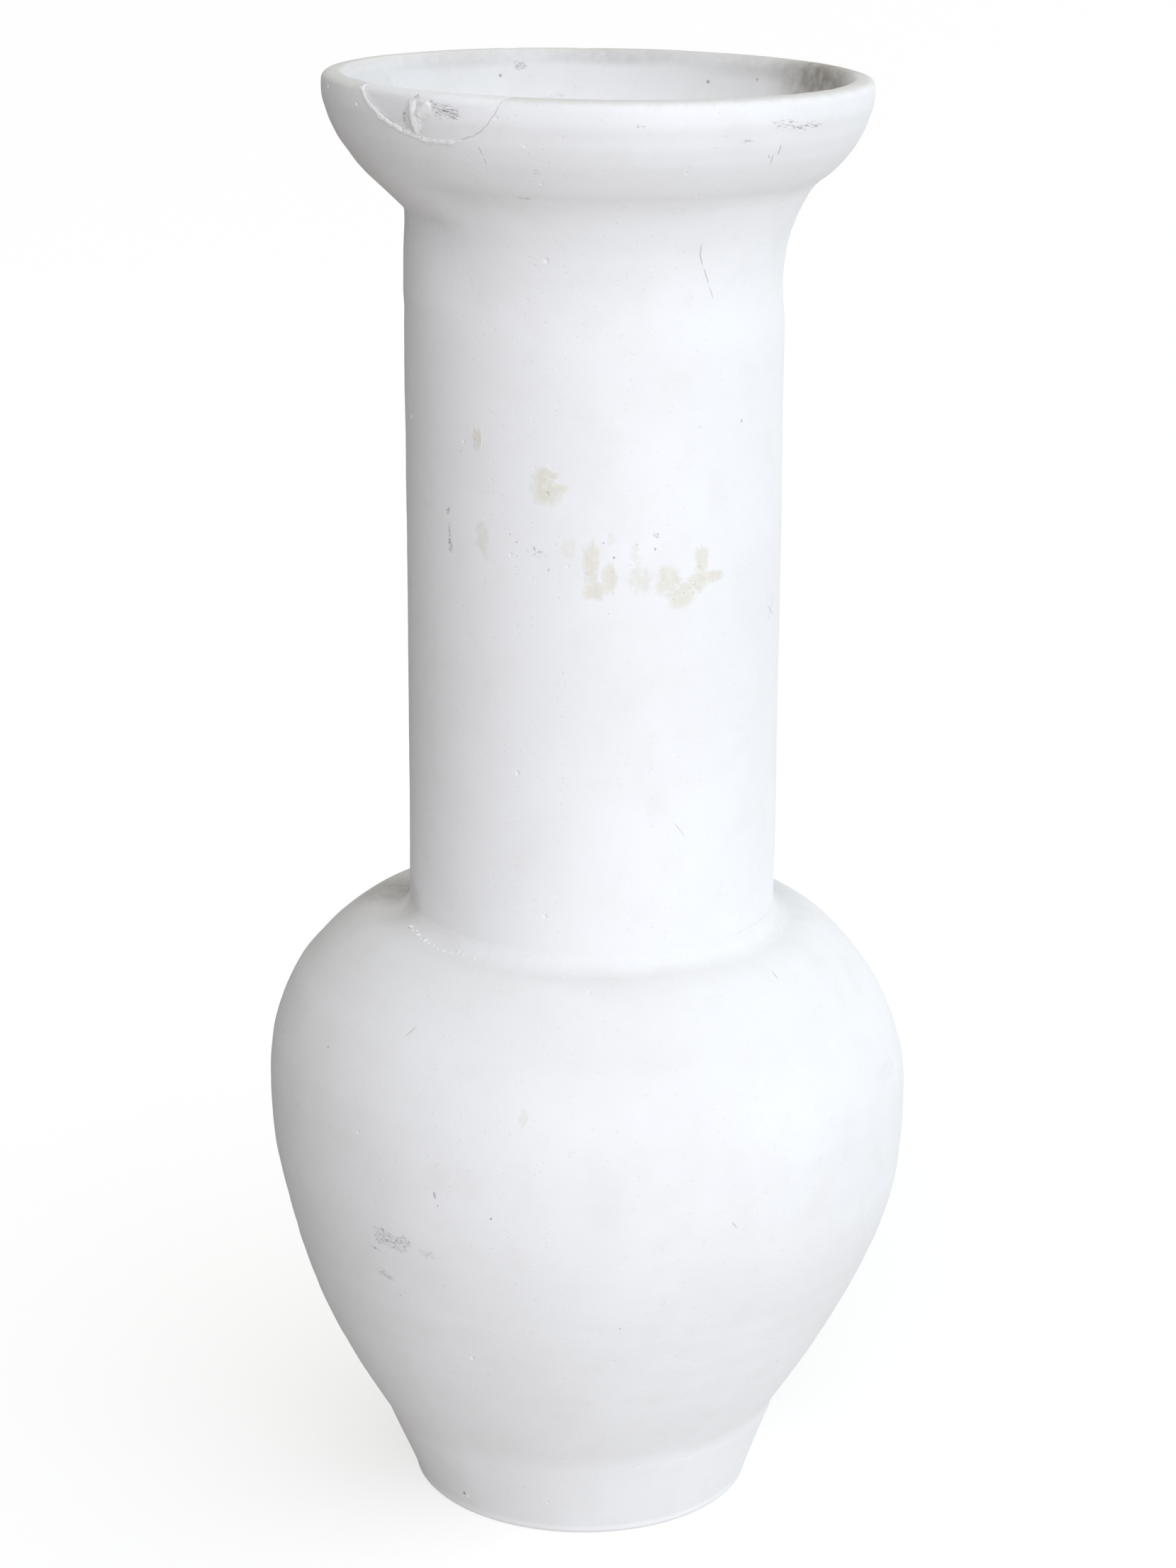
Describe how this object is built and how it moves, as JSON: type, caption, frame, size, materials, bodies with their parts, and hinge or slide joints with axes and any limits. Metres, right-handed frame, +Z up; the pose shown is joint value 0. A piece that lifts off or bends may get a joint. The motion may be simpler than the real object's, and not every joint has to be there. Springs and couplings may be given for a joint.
{
  "type": "plaster vase model",
  "caption": "Hollow plaster vase form with a round foot, full belly, tall straight neck and wide bowl mouth, with a mended rim.",
  "frame": {"origin": "centre of the flat ring that the foot stands on", "axes": "+Z up along the turning axis, from the foot to the mouth; -Y towards the side with the glue marks, with the mended rim between -X and -Y"},
  "size_m": [0.216, 0.216, 0.48],
  "materials": {
    "plaster": "matte",
    "luting": "matte",
    "filler": "matte",
    "dried_glue": "matte"
  },
  "bodies": {
    "root": {"foot_section": "plaster", "floor_disc": "plaster", "floor_disc_luting": "luting", "foot_joint_luting": "luting", "body_section": "plaster", "shoulder_joint_luting": "luting", "neck_section": "plaster", "mouth_joint_luting": "luting", "mouth_section": "plaster", "rim_shard": "plaster", "shard_bedding": "filler", "filler_daub": "filler", "luting_crumbs": "luting", "glue_residue": "dried_glue"}
  },
  "joints": []
}
